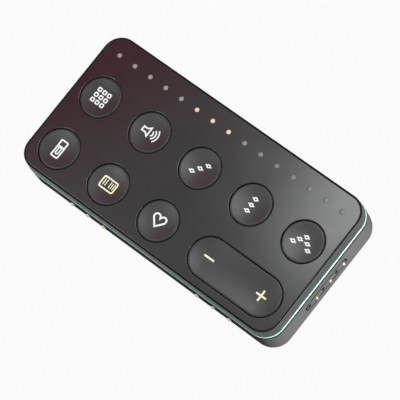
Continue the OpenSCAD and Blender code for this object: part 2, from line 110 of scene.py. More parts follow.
# %% Colours and nodes
def linear(hex_colour):
    parts = [int(hex_colour[i:i + 2], 16) / 255 for i in (0, 2, 4)]
    return (*[c / 12.92 if c <= 0.04045 else ((c + 0.055) / 1.055) ** 2.4 for c in parts], 1.0)


def add(tree, kind, inputs=None, **settings):
    """A new node. An input is a plain value, an output, or a node, for its first enabled output."""
    made = tree.nodes.new(kind)
    for name, value in settings.items():
        setattr(made, name, value)
    for name, value in (inputs or {}).items():
        if isinstance(value, bpy.types.Node):
            value = next(output for output in value.outputs if output.enabled)
        if isinstance(value, bpy.types.NodeSocket):
            tree.links.new(value, made.inputs[name])
        else:
            made.inputs[name].default_value = value
    return made


def begin(name):
    """A new material, its node tree and the place on the object that its patterns hold to."""
    material = bpy.data.materials.new(name)
    material.use_nodes = True
    tree = material.node_tree
    tree.nodes.clear()
    place = add(tree, "ShaderNodeTexCoord").outputs["Object"]
    return material, tree, place


print("white is", [round(c, 3) for c in linear("ffffff")])

# %% [markdown]
# ## Floor and light
#
# The pad lies on a plain white floor. The floor mixes a mid grey paper, which keeps the pad's soft
# shadow, with a white of its own that the camera and mirror-like surfaces see. It lies a hair below
# the pad. Its underside is clear, and so is its upper face to a ray that starts right above it, so
# that the pad can also be seen from below. The world is white to look at too, and a gentle fill for
# everything else.

# %% Floor
FLOOR_GAP = 0.02 * MM
NEAR_FLOOR = 10 * FLOOR_GAP
OWN_WHITE = 0.95


def seen_directly(tree):
    """One for a ray from the camera, a mirror or a glass, and zero for a ray of diffuse light."""
    path = add(tree, "ShaderNodeLightPath").outputs
    seen = add(tree, "ShaderNodeMath", {0: path["Is Camera Ray"], 1: path["Is Glossy Ray"]},
               operation="MAXIMUM")
    return add(tree, "ShaderNodeMath", {0: seen, 1: path["Is Transmission Ray"]}, operation="MAXIMUM")


bpy.ops.object.select_all(action="DESELECT")
bpy.ops.mesh.primitive_plane_add(size=6, location=(0, 0, -FLOOR_GAP))
floor = bpy.context.object
floor.name = "floor"
white_floor, tree, _ = begin("white_paper_floor")
own_white = add(tree, "ShaderNodeMath", {0: seen_directly(tree), 1: OWN_WHITE}, operation="MULTIPLY")
paper = add(tree, "ShaderNodeBsdfDiffuse", {"Color": linear("787878")})
glow = add(tree, "ShaderNodeEmission", {"Color": linear("ffffff"), "Strength": 1.0})
upper_face = add(tree, "ShaderNodeMixShader", {0: own_white, 1: paper, 2: glow})
ray_length = add(tree, "ShaderNodeLightPath").outputs["Ray Length"]
close_by = add(tree, "ShaderNodeMath", {0: ray_length, 1: NEAR_FLOOR}, operation="LESS_THAN")
from_below = add(tree, "ShaderNodeNewGeometry").outputs["Backfacing"]
open_face = add(tree, "ShaderNodeMath", {0: close_by, 1: from_below}, operation="MAXIMUM")
see_through = add(tree, "ShaderNodeBsdfTransparent")
both_faces = add(tree, "ShaderNodeMixShader", {0: open_face, 1: upper_face, 2: see_through})
add(tree, "ShaderNodeOutputMaterial", {"Surface": both_faces})
floor.data.materials.append(white_floor)
print("floor is", floor.dimensions.x, "m wide")

# %% World
FILL_LIGHT = 0.27
world = bpy.data.worlds.new("studio_world")
bpy.context.scene.world = world
world.use_nodes = True
tree = world.node_tree
tree.nodes.clear()
level = add(tree, "ShaderNodeMapRange", {"Value": seen_directly(tree), "To Min": FILL_LIGHT, "To Max": 1.0})
sky = add(tree, "ShaderNodeBackground", {"Color": linear("ffffff"), "Strength": level})
add(tree, "ShaderNodeOutputWorld", {"Surface": sky})
bpy.context.scene.view_settings.view_transform = "Standard"
print("the world fills at", FILL_LIGHT)

# %% [markdown]
# The satin top mirrors what hangs above the pad, so the lamps are placed by that mirror image. A
# soft box hangs over the back with its edge turned across the pad: its image is the grey sheen in
# the back right corner, and its blurred edge is how the sheen fades. A second box at the front
# left lights one side of each dish. Both are tinted a little cool. A third stands low at the right
# and lights the end wall. A pink card over the back left gives that end of the top its dark
# reddish tone.

# %% Lamps
def soft_box(name, place, size, brightness, turn=0, aim=None, colour="ffffff"):
    """A flat lamp in mm, which faces down and is turned about Z, or faces the point aim."""
    lamp = bpy.data.lights.new(name, "AREA")
    lamp.shape = "RECTANGLE"
    lamp.size, lamp.size_y = size[0] * MM, size[1] * MM
    lamp.energy = brightness * math.pi * lamp.size * lamp.size_y
    lamp.color = linear(colour)[:3]
    holder = bpy.data.objects.new(name, lamp)
    holder.location = Vector(place) * MM
    holder.rotation_euler.z = math.radians(turn)
    if aim:
        facing = Vector(aim) * MM - holder.location
        holder.rotation_euler = facing.to_track_quat("-Z", "Y").to_euler()
    holder.visible_camera = False
    bpy.context.scene.collection.objects.link(holder)
    print(name, "gives", round(lamp.energy, 3), "W")


soft_box("back_soft_box", (-17, 79, 240), (86, 96), 9.7, turn=12, colour="fafffe")
soft_box("front_left_soft_box", (-152, -88, 240), (120, 90), 10.0, colour="f2fffd")
soft_box("right_soft_box", (240, 20, 38), (90, 76), 36.0, aim=(47, 20, 12))

# %% Pink card
CARD_PLACE = Vector((-237, 74, 240)) * MM
CARD_SIZE = (220, 300, 1)
CARD_TURN = math.radians(155)
CARD_GLOW = 1.15
bpy.ops.object.select_all(action="DESELECT")
bpy.ops.mesh.primitive_plane_add(size=MM, location=CARD_PLACE, rotation=(0, 0, CARD_TURN))
card = bpy.context.object
card.name = "pink_card"
card.scale = CARD_SIZE
card_pink, tree, _ = begin("pink_card_paper")
glow = add(tree, "ShaderNodeEmission", {"Color": linear("ff6a8c"), "Strength": CARD_GLOW})
add(tree, "ShaderNodeOutputMaterial", {"Surface": glow})
card.data.materials.append(card_pink)
card.visible_camera = card.visible_diffuse = card.visible_shadow = False
print("card spans", [round(side / MM) for side in card.dimensions], "mm")

# %% [markdown]
# ## Plastics
#
# All the black pieces are injection moulded. The mould is spark eroded, so the skin has a fine
# even grain, and the melt leaves faint clouds in the gloss. One function builds such a plastic
# from its colour, the size and the depth of its grain, and how its roughness wanders. The real
# grain of about 0.05 mm is finer than a pixel, so it is drawn a few times coarser. A mask can mark
# a part of the piece for painted shade or painted light: it gets a colour of its own and no gloss.

# %% Moulded plastic
GRAIN = 0.25
CLOUD = 14
NOISE_LOW = 0.3
NOISE_HIGH = 0.7


def moulded(name, colour, second, rough, swing, grain_mm=GRAIN, depth_mm=0.002,
            ior=1.5, shine=0.5, painted_shade_or_light=None, painted_shade_or_light_colour="060606"):
    """A plastic between two close colours, whose roughness swings about rough, and a part with painted
    shade or painted light.
    """
    material, tree, place = begin(name)
    grain = add(tree, "ShaderNodeTexNoise", {"Vector": place, "Scale": 1 / (grain_mm * MM), "Detail": 2.0})
    cloud = add(tree, "ShaderNodeTexNoise", {"Vector": place, "Scale": 1 / (CLOUD * MM), "Detail": 3.0})
    tint = add(tree, "ShaderNodeMix", {"Factor": cloud, 6: linear(colour), 7: linear(second)},
               data_type="RGBA")
    gloss = add(tree, "ShaderNodeMapRange", {"Value": cloud, "From Min": NOISE_LOW, "From Max": NOISE_HIGH,
                                             "To Min": rough - swing, "To Max": rough + swing})
    # Painted shade or painted light: the masked part takes a colour of its own and no gloss.
    if painted_shade_or_light:
        painted_mask = painted_shade_or_light(tree, place)
        tint = add(tree, "ShaderNodeMix", {"Factor": painted_mask, 6: tint, 7: linear(painted_shade_or_light_colour)},
                   data_type="RGBA")
        gloss = add(tree, "ShaderNodeMath", {0: gloss, 1: painted_mask}, operation="MAXIMUM")
    bump = add(tree, "ShaderNodeBump", {"Height": grain, "Strength": 1.0, "Distance": depth_mm * MM})
    skin = add(tree, "ShaderNodeBsdfPrincipled", {
        "Base Color": tint, "IOR": ior, "Specular IOR Level": shine, "Roughness": gloss, "Normal": bump})
    add(tree, "ShaderNodeOutputMaterial", {"Surface": skin})
    print(name, "has a roughness of about", rough)
    return material


print("the grain is drawn", GRAIN, "mm wide")

# %% [markdown]
# The sides of the narrow gaps are painted black: painted shade where little light gets in. Two masks
# find them: one takes all that lies below a height, and one takes all that lies inside the outline
# by some depth. The outline is a rectangle with round corners, so the depth is counted from the
# arcs of its corners. The rolled bottom edge of the shell also draws in, and it gets no painted shade.

# %% Painted shade in the gaps
CORNER_RADIUS = 6.0
SOFT_EDGE = 0.1
SHARP_EDGE = 0.02
shell_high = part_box("base_shell")[1]
corner_middle = (shell_high.x - CORNER_RADIUS * MM, shell_high.y - CORNER_RADIUS * MM, 1.0)


def below(height_mm):
    def mask(tree, place):
        height = add(tree, "ShaderNodeSeparateXYZ", {0: place}).outputs["Z"]
        return add(tree, "ShaderNodeMapRange", {
            "Value": height, "From Min": (height_mm - SOFT_EDGE) * MM, "From Max": height_mm * MM,
            "To Min": 1.0, "To Max": 0.0})
    return mask


def inside(depth_mm, above_mm=0):
    def mask(tree, place):
        away = add(tree, "ShaderNodeVectorMath", {0: place}, operation="ABSOLUTE")
        away = add(tree, "ShaderNodeVectorMath", {0: away, 1: corner_middle}, operation="SUBTRACT")
        away = add(tree, "ShaderNodeVectorMath", {0: away, 1: (0, 0, 0)}, operation="MAXIMUM")
        reach = add(tree, "ShaderNodeVectorMath", {0: away}, operation="LENGTH")
        edge = CORNER_RADIUS - depth_mm
        deep = add(tree, "ShaderNodeMapRange", {
            "Value": reach, "From Min": (edge - SHARP_EDGE) * MM, "From Max": edge * MM,
            "To Min": 1.0, "To Max": 0.0})
        height = add(tree, "ShaderNodeSeparateXYZ", {0: place}).outputs["Z"]
        high = add(tree, "ShaderNodeMath", {0: height, 1: above_mm * MM}, operation="GREATER_THAN")
        return add(tree, "ShaderNodeMath", {0: deep, 1: high}, operation="MULTIPLY")
    return mask


print("corners turn about", [round(side / MM, 2) for side in corner_middle[:2]], "mm")

# %% [markdown]
# The face of a key is black, and below the rim its side is painted a lighter grey: painted light in the
# shaded gap round the key.
# A point of the side lies as far from the middle of its key as the key's radius. The keys stand on
# a square grid, so the place is wrapped at its pitch. The long key has a line for its middle.

# %% Painted light on the sides of the keys
KEY_RADIUS = 6.0
PITCH = 18.7


def middle(key):
    """The middle of a key in X and Y, in mm."""
    low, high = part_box(key)
    return (low.x + high.x) / 2 / MM, (low.y + high.y) / 2 / MM


def key_side_painted_light(tree, place):
    half = PITCH / 2 * MM
    grid_middle = Vector((*middle("grid_key"), 0)) * MM
    pill_middle = Vector((*middle("pill_key"), 0)) * MM
    flat = add(tree, "ShaderNodeVectorMath", {0: place, 1: (1, 1, 0)}, operation="MULTIPLY")
    from_grid = add(tree, "ShaderNodeVectorMath", {0: flat, 1: grid_middle}, operation="SUBTRACT")
    wrapped = add(tree, "ShaderNodeVectorMath", {0: from_grid, 1: (half,) * 3, 2: (-half,) * 3},
                  operation="WRAP")
    to_middle = add(tree, "ShaderNodeVectorMath", {0: wrapped}, operation="LENGTH")
    from_pill = add(tree, "ShaderNodeVectorMath", {0: flat, 1: pill_middle}, operation="SUBTRACT")
    from_pill = add(tree, "ShaderNodeVectorMath", {0: from_pill}, operation="ABSOLUTE")
    past_line = add(tree, "ShaderNodeVectorMath", {0: from_pill, 1: (half, 0, 0)}, operation="SUBTRACT")
    past_line = add(tree, "ShaderNodeVectorMath", {0: past_line, 1: (0, 0, 0)}, operation="MAXIMUM")
    to_line = add(tree, "ShaderNodeVectorMath", {0: past_line}, operation="LENGTH")
    reach = add(tree, "ShaderNodeMath", {0: to_middle, 1: to_line}, operation="MINIMUM")
    return add(tree, "ShaderNodeMapRange", {"Value": reach, "From Min": (KEY_RADIUS - SOFT_EDGE) * MM,
                                            "From Max": (KEY_RADIUS - SHARP_EDGE) * MM})


print("the first key stands at", [round(side, 2) for side in middle("grid_key")], "mm")

# %% [markdown]
# The face of each docking port is painted black along its edge, a painted shadow line round the
# port, and the groove about the port is painted shade too. Along a long wall the ports stand at
# one pitch, so X is wrapped there, and on an end wall Y counts. The smaller of the two is the
# distance along the port.

# %% Painted shadow lines round the ports
PORT_PITCH = 46.9
PORT_LENGTH = 17.5
PORT_HEIGHT = 3.2
PORT_SHADE_WIDTH = 0.22
WALL_SHADE_DEPTH = 0.03
pin_low, pin_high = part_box("right_pin_2")
port_z = (pin_low.z + pin_high.z) / 2


# Painted shadow line: the edge of each port face is black, and the groove about it is painted shade.
def port_shadow_line(tree, place):
    half = PORT_PITCH / 2 * MM
    spot = add(tree, "ShaderNodeSeparateXYZ", {0: place}).outputs
    along_x = add(tree, "ShaderNodeMath", {0: spot["X"], 1: 2 * half, 2: 0}, operation="WRAP")
    along_x = add(tree, "ShaderNodeMath", {0: along_x, 1: half}, operation="SUBTRACT")
    along_x = add(tree, "ShaderNodeMath", {0: along_x}, operation="ABSOLUTE")
    along_y = add(tree, "ShaderNodeMath", {0: spot["Y"]}, operation="ABSOLUTE")
    along = add(tree, "ShaderNodeMath", {0: along_x, 1: along_y}, operation="MINIMUM")
    straight = (PORT_LENGTH - PORT_HEIGHT) / 2 * MM
    past = add(tree, "ShaderNodeMath", {0: along, 1: straight}, operation="SUBTRACT")
    past = add(tree, "ShaderNodeMath", {0: past, 1: 0.0}, operation="MAXIMUM")
    height = add(tree, "ShaderNodeMath", {0: spot["Z"], 1: port_z}, operation="SUBTRACT")
    from_line = add(tree, "ShaderNodeCombineXYZ", {"X": past, "Y": height})
    reach = add(tree, "ShaderNodeVectorMath", {0: from_line}, operation="LENGTH")
    edge = PORT_HEIGHT / 2 - PORT_SHADE_WIDTH
    shade_line = add(tree, "ShaderNodeMapRange", {
        "Value": reach, "From Min": (edge - SHARP_EDGE) * MM, "From Max": edge * MM})
    return add(tree, "ShaderNodeMath", {0: shade_line, 1: inside(WALL_SHADE_DEPTH)(tree, place)}, operation="MAXIMUM")


print("the ports lie at", round(port_z / MM, 2), "mm")

# %% [markdown]
# The outer side of the top plate is painted black as shade from a hair below its top, and its key
# openings from a little further down. The frame and the shell are painted black as shade inside the
# outline that shows. To the eye the plate has a broad satin sheen, a key shades softly across its
# dish, the frame is a dark band with little shine, and the shell and its housings are an even matt
# grey. The rubber pad is the dullest.

# %% Plastics
ROLL_TOP = 6.6
PLATE_INSET = 0.83
PLATE_MARGIN = 0.1
OUTER_SHADE_DROP = 0.02
OPENING_SHADE_DROP = 0.12
FRAME_SHADE_DEPTH = 0.51
top = cad_high.z / MM


def plate_painted_shade(tree, place):
    """Painted shade: the sides of the key openings, and nearly all of the plate's own outer side."""
    low_down = below(top - OUTER_SHADE_DROP)(tree, place)
    well_in = inside(PLATE_INSET + PLATE_MARGIN)(tree, place)
    outer = add(tree, "ShaderNodeMath", {0: low_down, 1: well_in}, operation="SUBTRACT", use_clamp=True)
    openings = below(top - OPENING_SHADE_DROP)(tree, place)
    return add(tree, "ShaderNodeMath", {0: openings, 1: outer}, operation="MAXIMUM")


# Painted shade: the outer side of the plate and the sides of its key openings are painted black.
plate_black = moulded("soft_touch_coated_black_polycarbonate_plate", "131213", "171617", 0.22, 0.02,
                      ior=1.46, painted_shade_or_light=plate_painted_shade)
# Painted light: the sides of the keys in their gaps are painted a lighter grey.
key_black = moulded("spark_eroded_black_polycarbonate_key", "1b1b1c", "202021", 0.36, 0.02,
                    shine=0.38, painted_shade_or_light=key_side_painted_light, painted_shade_or_light_colour="6a6464")
# Painted shade: the frame inside its outline, and the shell in its grooves and windows, are painted black.
frame_black = moulded("coated_dark_grey_abs_frame", "2b3030", "323737", 0.45, 0.04,
                      shine=0.2, painted_shade_or_light=inside(FRAME_SHADE_DEPTH))
shell_grey = moulded("soft_touch_coated_abs_shell", "565556", "5e5d5e", 0.75, 0.05,
                     shine=0.0, painted_shade_or_light=inside(WALL_SHADE_DEPTH, ROLL_TOP))
# Painted shadow lines round the ports of the housings.
housing_grey = moulded("moulded_grey_lcp_housing", "565556", "5e5d5e", 0.7, 0.05,
                       shine=0.0, painted_shade_or_light=port_shadow_line)
bracket_black = moulded("moulded_black_acetal_bracket", "1c1c1e", "222224", 0.45, 0.05)
pad_rubber = moulded("moulded_black_silicone_pad", "161617", "1e1e1f", 0.85, 0.05,
                     grain_mm=0.4, depth_mm=0.01)
chip_epoxy = moulded("moulded_black_epoxy_chip", "141414", "1a1a1a", 0.55, 0.05)

# %% [markdown]
# ## Trim, metals, board and light guide
#
# The seam ring is a polished pale teal along the outer edge of its upper rim: partly its own colour,
# partly a painted highlight on that edge. The neck below and the inner part of the rim are painted
# black, a painted shadow line over the shell. The ring is one CAD piece, so the material tells the
# parts apart by their height, and by how deep they lie inside the outline.

# %% Seam trim
SHADOW_LINE_HEIGHT = 0.8
RIM_FADE = 0.35
RIM_DEPTH = 0.12
RIM_CLOUD = 9
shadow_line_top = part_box("seam_ring")[0].z + SHADOW_LINE_HEIGHT * MM

seam_trim, tree, place = begin("pale_teal_pmma_seam_painted_shadow_line")
height = add(tree, "ShaderNodeSeparateXYZ", {0: place}).outputs["Z"]
upper = add(tree, "ShaderNodeMapRange", {"Value": height, "From Min": shadow_line_top - SHARP_EDGE * MM,
                                         "From Max": shadow_line_top + RIM_FADE * MM})
rim = add(tree, "ShaderNodeMath", {0: upper, 1: inside(RIM_DEPTH)(tree, place)},
          operation="SUBTRACT", use_clamp=True)
cloud = add(tree, "ShaderNodeTexNoise", {"Vector": place, "Scale": 1 / (RIM_CLOUD * MM), "Detail": 2.0})
teal = add(tree, "ShaderNodeMix", {"Factor": cloud, 6: linear("b0d6ce"), 7: linear("bce0d8")},
           data_type="RGBA")
# Painted shade below and inside the pale rim; the pale outer edge is partly a painted highlight.
tint = add(tree, "ShaderNodeMix", {"Factor": rim, 6: linear("0c1010"), 7: teal}, data_type="RGBA")
gloss = add(tree, "ShaderNodeMapRange", {"Value": rim, "To Min": 0.7, "To Max": 0.2})
skin = add(tree, "ShaderNodeBsdfPrincipled", {"Base Color": tint, "Roughness": gloss, "IOR": 1.49})
add(tree, "ShaderNodeOutputMaterial", {"Surface": skin})
print("the gasket ends at", round(shadow_line_top / MM, 2), "mm")

# %% [markdown]
# Each metal has fine marks along the way in which it was turned, rolled or ground. The board shows
# faint tracks under its green mask. The light guide and the emitters are of a hazy plastic.

# %% Metals
STREAK_STRETCH = 0.15


def worked_metal(name, colour, second, rough, swing, streak_mm, along):
    """A metal between two close colours, whose marks are drawn out along one axis."""
    material, tree, place = begin(name)
    stretch = [1.0] * 3
    stretch[along] = STREAK_STRETCH
    drawn_out = add(tree, "ShaderNodeVectorMath", {0: place, 1: stretch}, operation="MULTIPLY")
    marks = add(tree, "ShaderNodeTexNoise", {"Vector": drawn_out, "Scale": 1 / (streak_mm * MM),
                                             "Detail": 3.0})
    tint = add(tree, "ShaderNodeMix", {"Factor": marks, 6: linear(colour), 7: linear(second)},
               data_type="RGBA")
    gloss = add(tree, "ShaderNodeMapRange", {"Value": marks, "From Min": NOISE_LOW, "From Max": NOISE_HIGH,
                                             "To Min": rough - swing, "To Max": rough + swing})
    skin = add(tree, "ShaderNodeBsdfPrincipled", {"Base Color": tint, "Metallic": 1.0, "Roughness": gloss})
    add(tree, "ShaderNodeOutputMaterial", {"Surface": skin})
    print(name, "has marks of", streak_mm, "mm")
    return material


contact_gold = worked_metal("turned_gold_plated_brass", "aca48c", "bcb49e", 0.38, 0.06, 0.3, along=2)
dome_steel = worked_metal("rolled_stainless_dome", "b9bbbd", "c8c9ca", 0.3, 0.06, 0.4, along=0)
screw_steel = worked_metal("zinc_plated_steel_screw", "a9acb2", "bcbfc4", 0.35, 0.06, 0.3, along=2)
pivot_steel = worked_metal("ground_steel_pin", "b4b4b6", "c6c6c8", 0.25, 0.05, 0.2, along=1)
magnet_nickel = worked_metal("nickel_plated_magnet", "c4bfb4", "d2cdc4", 0.2, 0.04, 0.6, along=2)

# %% Circuit board
TRACK_PITCH = 1.1
TRACK_LENGTH = 3.2
TRACK_WIDTH = 0.1
FIBRE = 0.6
board_green, tree, place = begin("solder_masked_fr4_board")
tracks = add(tree, "ShaderNodeTexBrick", {
    "Vector": place, "Scale": 1.0, "Color1": linear("14402c"), "Color2": linear("184a33"),
    "Mortar": linear("25664a"), "Mortar Size": TRACK_WIDTH * MM, "Brick Width": TRACK_LENGTH * MM,
    "Row Height": TRACK_PITCH * MM})
fibres = add(tree, "ShaderNodeTexNoise", {"Vector": place, "Scale": 1 / (FIBRE * MM), "Detail": 2.0})
gloss = add(tree, "ShaderNodeMapRange", {"Value": fibres, "To Min": 0.25, "To Max": 0.45})
skin = add(tree, "ShaderNodeBsdfPrincipled", {"Base Color": tracks, "Roughness": gloss, "IOR": 1.5})
add(tree, "ShaderNodeOutputMaterial", {"Surface": skin})
print("tracks run every", TRACK_PITCH, "mm")

# %% Light guide and emitters
HAZE = 0.5
HAZE_SWING = 0.08


def milky(name, colour, second, rough):
    material, tree, place = begin(name)
    haze = add(tree, "ShaderNodeTexNoise", {"Vector": place, "Scale": 1 / (HAZE * MM), "Detail": 2.0})
    tint = add(tree, "ShaderNodeMix", {"Factor": haze, 6: linear(colour), 7: linear(second)},
               data_type="RGBA")
    gloss = add(tree, "ShaderNodeMapRange", {"Value": haze, "To Min": rough - HAZE_SWING,
                                             "To Max": rough + HAZE_SWING})
    skin = add(tree, "ShaderNodeBsdfPrincipled", {"Base Color": tint, "Roughness": gloss, "IOR": 1.49})
    add(tree, "ShaderNodeOutputMaterial", {"Surface": skin})
    return material


guide_acrylic = milky("moulded_milky_acrylic_guide", "8d8587", "999193", 0.35)
emitter_lens = milky("cast_epoxy_emitter_lens", "d8d2b4", "e6e0c4", 0.3)
print("milky plastics:", guide_acrylic.name, emitter_lens.name)

# %% [markdown]
# ## Materials on the CAD pieces
#
# The frame names a finish slot for every CAD piece, and the pieces keep their shapes. Only their
# materials change here, one for each slot.

# %% Give every CAD piece its material
finish = {
    "plate_plastic": plate_black, "key_plastic": key_black, "frame_plastic": frame_black,
    "shell_plastic": shell_grey, "housing_plastic": housing_grey, "bracket_plastic": bracket_black,
    "pad_rubber": pad_rubber, "chip_epoxy": chip_epoxy, "seam_trim": seam_trim,
    "contact_gold": contact_gold, "dome_steel": dome_steel, "screw_steel": screw_steel,
    "pivot_steel": pivot_steel, "magnet_nickel": magnet_nickel, "board_laminate": board_green,
    "guide_acrylic": guide_acrylic, "emitter_lens": emitter_lens,
}
for row in frame["record"]["subparts"]:
    piece = frame["nodes"][row["node"]]
    piece.data.materials.clear()
    piece.data.materials.append(finish[row["material_slot"]])
print(len(frame["nodes"]), "CAD pieces have", len(finish), "finishes")

# %% [markdown]
# ## Printed signs
#
# Each key carries a sign, printed in a thick ink on the dished face. A sign starts as flat tiles,
# rings and bars above its key. They are joined, cut finer, dropped onto the dish by a shrinkwrap
# and thickened, by the depth of the ink above the face and as much below it. Most strokes are about
# 0.4 mm wide.

# %% Ink materials
# The inks glow a little: a painted light that lifts the white of the signs.
INK_PAINTED_GLOW = 0.05
INK_SPECK = 0.2


def ink(name, colour, second, painted_glow_colour):
    material, tree, place = begin(name)
    speck = add(tree, "ShaderNodeTexNoise", {"Vector": place, "Scale": 1 / (INK_SPECK * MM), "Detail": 2.0})
    tint = add(tree, "ShaderNodeMix", {"Factor": speck, 6: linear(colour), 7: linear(second)},
               data_type="RGBA")
    gloss = add(tree, "ShaderNodeMapRange", {"Value": speck, "To Min": 0.45, "To Max": 0.65})
    skin = add(tree, "ShaderNodeBsdfPrincipled", {
        "Base Color": tint, "Roughness": gloss, "IOR": 1.48,
        "Emission Color": linear(painted_glow_colour), "Emission Strength": INK_PAINTED_GLOW})
    add(tree, "ShaderNodeOutputMaterial", {"Surface": skin})
    return material


white_ink = ink("screen_printed_white_ink", "f0f0f0", "f8f8f8", "ffffff")
yellow_ink = ink("screen_printed_pale_yellow_ink", "f4edbe", "fbf5d0", "fff6c8")
print("inks:", white_ink.name, yellow_ink.name)

# %% Flat building blocks of the signs
PRINT_HEIGHT = cad_high.z + 1 * MM


def start_edit():
    bpy.ops.object.mode_set(mode="EDIT")
    bpy.ops.mesh.select_all(action="SELECT")


def stop_edit():
    bpy.ops.object.mode_set(mode="OBJECT")
    return bpy.context.object


def leave_border(width):
    """Keeps only a border of the selected flat face, of that width in mm."""
    bpy.ops.mesh.inset(thickness=width * MM)
    bpy.ops.mesh.delete(type="FACE")


def tile(x, y, width, length, corner, border=None):
    """A flat tile with round corners at x, y, whole or only its border, all in mm."""
    bpy.ops.object.select_all(action="DESELECT")
    bpy.ops.mesh.primitive_plane_add(size=MM, location=(x * MM, y * MM, PRINT_HEIGHT))
    start_edit()
    bpy.ops.transform.resize(value=(width, length, 1))
    bpy.ops.mesh.bevel(offset=corner * MM, segments=4, affect="VERTICES")
    if border:
        leave_border(border)
    return stop_edit()


def ring(x, y, radius, border):
    """A flat ring at x, y, of that outer radius, all in mm."""
    bpy.ops.object.select_all(action="DESELECT")
    bpy.ops.mesh.primitive_circle_add(vertices=32, radius=radius * MM, fill_type="NGON",
                                      location=(x * MM, y * MM, PRINT_HEIGHT))
    start_edit()
    leave_border(border)
    return stop_edit()


print("signs start at", round(PRINT_HEIGHT / MM, 2), "mm")

# %% Printing on a key
INK_DEPTH = 0.03 * MM


def lay_on(key, name, parts, material):
    """Joins the flat parts, drops them onto the face of the key and gives them the ink's depth."""
    bpy.ops.object.select_all(action="DESELECT")
    for part in parts:
        part.select_set(True)
    bpy.context.view_layer.objects.active = parts[0]
    if len(parts) > 1:
        bpy.ops.object.join()
    sign = bpy.context.object
    sign.name = sign.data.name = name
    bpy.ops.object.transform_apply(location=True, rotation=True, scale=True)
    start_edit()
    bpy.ops.mesh.subdivide(number_cuts=2)
    stop_edit()
    wrap = sign.modifiers.new("drop", "SHRINKWRAP")
    wrap.target = frame["nodes"][key]
    wrap.wrap_method = "PROJECT"
    wrap.use_project_z = True
    wrap.use_positive_direction = False
    wrap.use_negative_direction = True
    wrap.offset = 0
    bpy.ops.object.modifier_apply(modifier=wrap.name)
    thick = sign.modifiers.new("ink", "SOLIDIFY")
    thick.thickness = 2 * INK_DEPTH
    thick.offset = 0
    bpy.ops.object.modifier_apply(modifier=thick.name)
    sign.data.materials.clear()
    sign.data.materials.append(material)
    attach(sign, key)
    print(name, "has", len(sign.data.polygons), "faces")


print("the ink stands", round(INK_DEPTH / MM, 3), "mm above a key")

# %% Grid sign
THIN_STROKE = 0.36
CELL_PITCH = 1.75
CELL_SIDE = 1.35
CELL_CORNER = 0.35
x, y = middle("grid_key")
cells = []
for column in (-1, 0, 1):
    for line in (-1, 0, 1):
        cells.append(tile(x + CELL_PITCH * column, y + CELL_PITCH * line,
                          CELL_SIDE, CELL_SIDE, CELL_CORNER, THIN_STROKE))
lay_on("grid_key", "grid_sign", cells, white_ink)

# %% [markdown]
# The speaker starts as a small box. Its right edge is extruded and widened into the horn, and then
# only the border of both is kept. Its sound waves are rings, cut down to arcs. Each has a shift and
# a radius in mm, and opens by an angle in degrees to both sides of +X.

# %% Speaker sign
SPEAKER_SHIFT = 2.1
SPEAKER_BOX = (1.45, 1.65, 1)
HORN_LENGTH = 1.25
HORN_FLARE = 2.25
SPEAKER_STROKE = 0.42
WAVE_STROKE = 0.4
WAVES = ((0.2, 0.8, 68), (0.2, 1.68, 54), (0.15, 2.66, 46))
x, y = middle("volume_key")
bpy.ops.object.select_all(action="DESELECT")
bpy.ops.mesh.primitive_plane_add(size=MM, location=((x - SPEAKER_SHIFT) * MM, y * MM, PRINT_HEIGHT))
start_edit()
bpy.ops.transform.resize(value=SPEAKER_BOX)
speaker = stop_edit()
for edge in speaker.data.edges:
    ends = [speaker.data.vertices[i].co.x for i in edge.vertices]
    edge.select = min(ends) > 0
for vertex in speaker.data.vertices:
    vertex.select = vertex.co.x > 0
for face in speaker.data.polygons:
    face.select = False
bpy.ops.object.mode_set(mode="EDIT")
bpy.ops.mesh.select_mode(type="EDGE")
bpy.ops.mesh.extrude_region_move(TRANSFORM_OT_translate={"value": (HORN_LENGTH * MM, 0, 0)})
bpy.ops.transform.resize(value=(1, HORN_FLARE, 1))
bpy.ops.mesh.select_mode(type="FACE")
bpy.ops.mesh.select_all(action="SELECT")
leave_border(SPEAKER_STROKE)
bpy.ops.mesh.select_mode(type="VERT")
stop_edit()


def wave(x, y, radius, half_angle):
    """A sound wave: a ring cut down to the arc that opens towards +X."""
    arc = ring(x, y, radius + WAVE_STROKE / 2, WAVE_STROKE)
    for side in (-1, 1):
        turn = math.radians(side * half_angle)
        start_edit()
        bpy.ops.mesh.bisect(plane_co=(x * MM, y * MM, PRINT_HEIGHT),
                            plane_no=(-math.sin(turn) * side, math.cos(turn) * side, 0), clear_outer=True)
        stop_edit()
    return arc


waves = [wave(x + shift, y, radius, half_angle) for shift, radius, half_angle in WAVES]
lay_on("volume_key", "speaker_sign", [speaker, *waves], white_ink)

# %% Note signs
NOTE_RADIUS = 0.62
DASH = 0.48
DASH_OVERLAP = 0.06
SMALL_CORNER = 0.1


def note(x, y):
    """A hollow note head with the short ends of a line at its sides."""
    dash_x = NOTE_RADIUS + DASH / 2 - DASH_OVERLAP
    head = ring(x, y, NOTE_RADIUS, THIN_STROKE)
    return [head, *[tile(x + side * dash_x, y, DASH, THIN_STROKE, SMALL_CORNER) for side in (-1, 1)]]


def print_notes(kind, spots):
    """A sign with a note at each of the spots, in mm from the middle of its key."""
    x, y = middle(f"{kind}_key")
    notes = [note(x + side, y + up) for side, up in spots]
    lay_on(f"{kind}_key", f"{kind}_sign", sum(notes, []), white_ink)


print_notes("rising_notes", [(1.58 * i, 1.85 * i) for i in (-1, 0, 1)])
print_notes("stacked_notes", [(0, 1.95 * i) for i in (-1, 0, 1)])
print_notes("arched_notes", [(1.3 * i, 1.6 - 1.48 * abs(i)) for i in (-2, -1, 0, 1, 2)])

